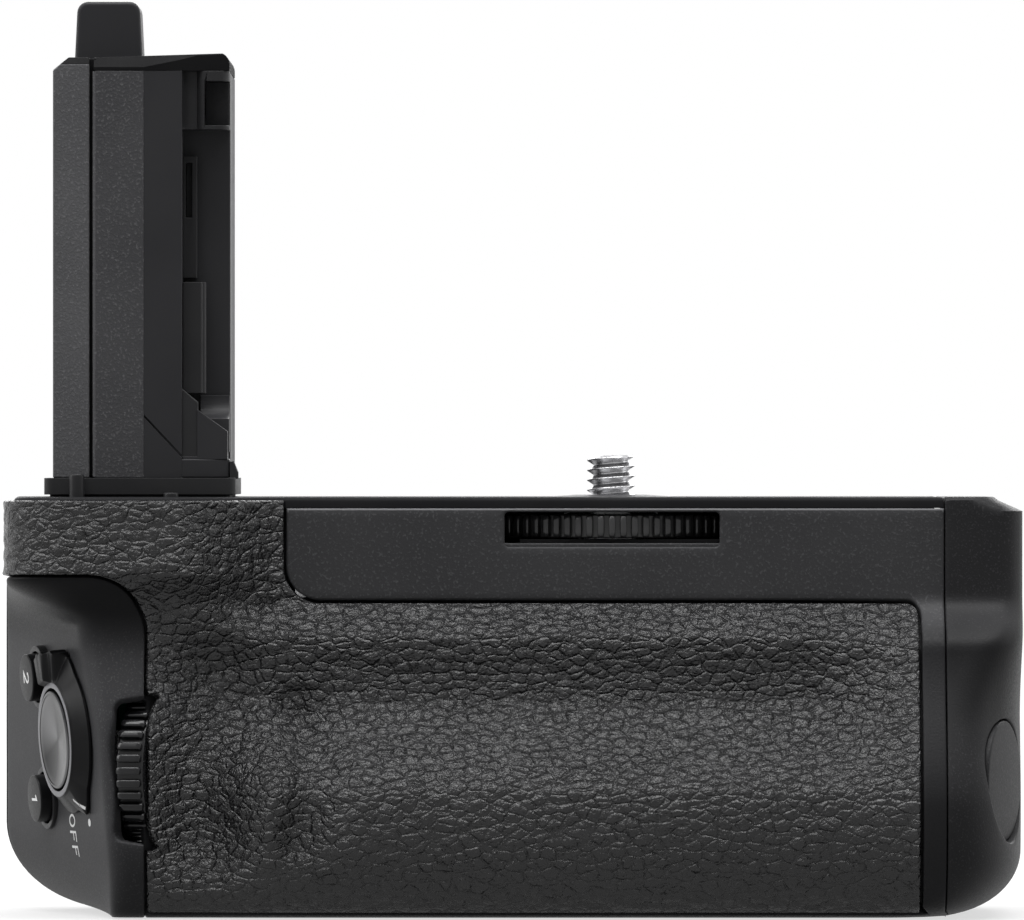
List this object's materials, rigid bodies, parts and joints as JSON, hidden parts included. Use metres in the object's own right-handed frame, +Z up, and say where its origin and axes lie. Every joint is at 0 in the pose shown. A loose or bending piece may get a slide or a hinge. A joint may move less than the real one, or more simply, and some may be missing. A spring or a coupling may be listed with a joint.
{
  "type": "camera battery grip",
  "caption": "Vertical camera battery grip: battery-shaped stalk, tightening wheel and screw on top, grained grip, shutter end with lever and dials, hinged battery door with lock.",
  "frame": {"origin": "middle of the bounding box at the base", "axes": "+Z up, +X along the body towards the battery door, -Y towards the grip's front"},
  "size_m": [0.1306, 0.0616, 0.1162],
  "materials": {
    "casing": "satin black coat, fine grain",
    "satin_plastic": "satin black",
    "control_cap": "satin black",
    "grip_rubber": "pebbled grain",
    "inner_black": "matt black",
    "control_black": "satin black",
    "stalk_plastic": "spark-eroded texture",
    "seal_rubber": "smooth",
    "button_steel": "spun dark metal",
    "bright_steel": "plain turned steel",
    "contact_gold": "gold plated",
    "circuit_board": "solder resist",
    "amber_plastic": "smooth"
  },
  "bodies": {
    "grip": {"front_shell": "casing", "rear_shell": "casing", "top_plate": "casing", "screw_seat": "casing", "bottom_plate": "satin_plastic", "stalk_flange": "satin_plastic", "control_cap": "control_cap", "front_grip_skin": "grip_rubber", "rear_grip_skin": "grip_rubber", "battery_chamber": "inner_black", "contact_blocks": "inner_black", "shutter_housing": "inner_black", "locating_pins": "control_black", "stalk_side_cover": "stalk_plastic", "stalk_front_shell": "stalk_plastic", "stalk_rear_shell": "stalk_plastic", "stalk_cap": "stalk_plastic", "contact_nose": "stalk_plastic", "cover_holder": "stalk_plastic", "cover_rail": "stalk_plastic", "flange_seal": "seal_rubber", "tripod_bush": "bright_steel", "bottom_screws": "bright_steel", "top_screws": "bright_steel", "thrust_washer": "bright_steel", "door_hinge_pin": "bright_steel", "door_strike": "bright_steel", "front_dial_axle": "bright_steel", "front_dial_bracket": "bright_steel", "rear_dial_axle": "bright_steel", "rear_dial_bracket": "bright_steel", "centre_frame": "bright_steel", "battery_contacts": "contact_gold", "stalk_contacts": "contact_gold", "main_board": "circuit_board", "control_board": "circuit_board", "rear_board": "circuit_board", "stalk_board": "circuit_board", "stalk_ribbon": "amber_plastic"},
    "screw": {"camera_screw": "bright_steel", "tightening_wheel": "control_black"},
    "door": {"battery_door": "satin_plastic", "door_plate": "inner_black", "door_pads": "seal_rubber"},
    "door_lock": {"lock_dial": "satin_plastic", "lock_tongue": "bright_steel"},
    "upper_latch": {"battery_latch_upper": "amber_plastic"},
    "lower_latch": {"battery_latch_lower": "amber_plastic"},
    "shutter": {"shutter_button": "button_steel"},
    "lever": {"power_lever": "control_black"},
    "custom_1": {"custom_button_1": "control_black"},
    "custom_2": {"custom_button_2": "control_black"},
    "front_wheel": {"front_dial": "control_black"},
    "rear_wheel": {"rear_dial": "control_black"},
    "stick_base": {"joystick_carrier": "inner_black"},
    "stick_ring": {"joystick_ring": "bright_steel"},
    "stick": {"joystick": "control_black"},
    "focus": {"focus_button": "control_black"},
    "hold": {"hold_button": "control_black"}
  },
  "joints": [
    {"name": "screw_turn", "type": "hinge", "parent": "grip", "child": "screw", "pos_m": [0.0126, 0.0027, 0.05], "axis": [0, 0, 1], "continuous": true},
    {"name": "door_swing", "type": "hinge", "parent": "grip", "child": "door", "pos_m": [0.05637, 0.0258, 0.025], "axis": [0, 0, 1], "range_deg": [0, 110]},
    {"name": "lock_turn", "type": "hinge", "parent": "door", "child": "door_lock", "pos_m": [0.06254, -0.0205, 0.0172], "axis": [0.9537, -0.3007, 0], "range_deg": [-90, 0]},
    {"name": "upper_latch_slide", "type": "slide", "parent": "grip", "child": "upper_latch", "axis": [0, -1, 0], "range_m": [0, 0.0014], "stiffness_N_per_m": 400},
    {"name": "lower_latch_slide", "type": "slide", "parent": "grip", "child": "lower_latch", "axis": [0, -1, 0], "range_m": [0, 0.0014], "stiffness_N_per_m": 400},
    {"name": "shutter_press", "type": "slide", "parent": "grip", "child": "shutter", "axis": [0.9487, 0.3083, 0.0698], "range_m": [0, 0.0009], "stiffness_N_per_m": 800},
    {"name": "lever_turn", "type": "hinge", "parent": "grip", "child": "lever", "pos_m": [-0.05611, -0.0143, 0.0224], "axis": [-0.9487, -0.3083, -0.0698], "range_deg": [-35, 0]},
    {"name": "custom_1_press", "type": "slide", "parent": "grip", "child": "custom_1", "axis": [0.9487, 0.3083, 0.0698], "range_m": [0, 0.0006], "stiffness_N_per_m": 1200},
    {"name": "custom_2_press", "type": "slide", "parent": "grip", "child": "custom_2", "axis": [0.9487, 0.3083, 0.0698], "range_m": [0, 0.0006], "stiffness_N_per_m": 1200},
    {"name": "front_dial_turn", "type": "hinge", "parent": "grip", "child": "front_wheel", "pos_m": [-0.0452, -0.01942, 0.0186], "axis": [0.9563, -0.2924, 0], "continuous": true},
    {"name": "rear_dial_turn", "type": "hinge", "parent": "grip", "child": "rear_wheel", "pos_m": [-0.052, 0.0194, 0.0355], "axis": [1, 0, 0], "continuous": true},
    {"name": "joystick_press", "type": "slide", "parent": "grip", "child": "stick_base", "axis": [0, -1, 0], "range_m": [0, 0.0004], "stiffness_N_per_m": 1500},
    {"name": "joystick_up_down", "type": "hinge", "parent": "stick_base", "child": "stick_ring", "pos_m": [-0.038, 0.0251, 0.026], "axis": [1, 0, 0], "range_deg": [-10, 10], "stiffness_Nm_per_rad": 0.02},
    {"name": "joystick_left_right", "type": "hinge", "parent": "stick_ring", "child": "stick", "pos_m": [-0.038, 0.0251, 0.026], "axis": [0, 0, 1], "range_deg": [-10, 10], "stiffness_Nm_per_rad": 0.02},
    {"name": "focus_press", "type": "slide", "parent": "grip", "child": "focus", "axis": [0, -1, 0], "range_m": [0, 0.0006], "stiffness_N_per_m": 1200},
    {"name": "hold_press", "type": "slide", "parent": "grip", "child": "hold", "axis": [0, -1, 0], "range_m": [0, 0.0006], "stiffness_N_per_m": 1200}
  ]
}
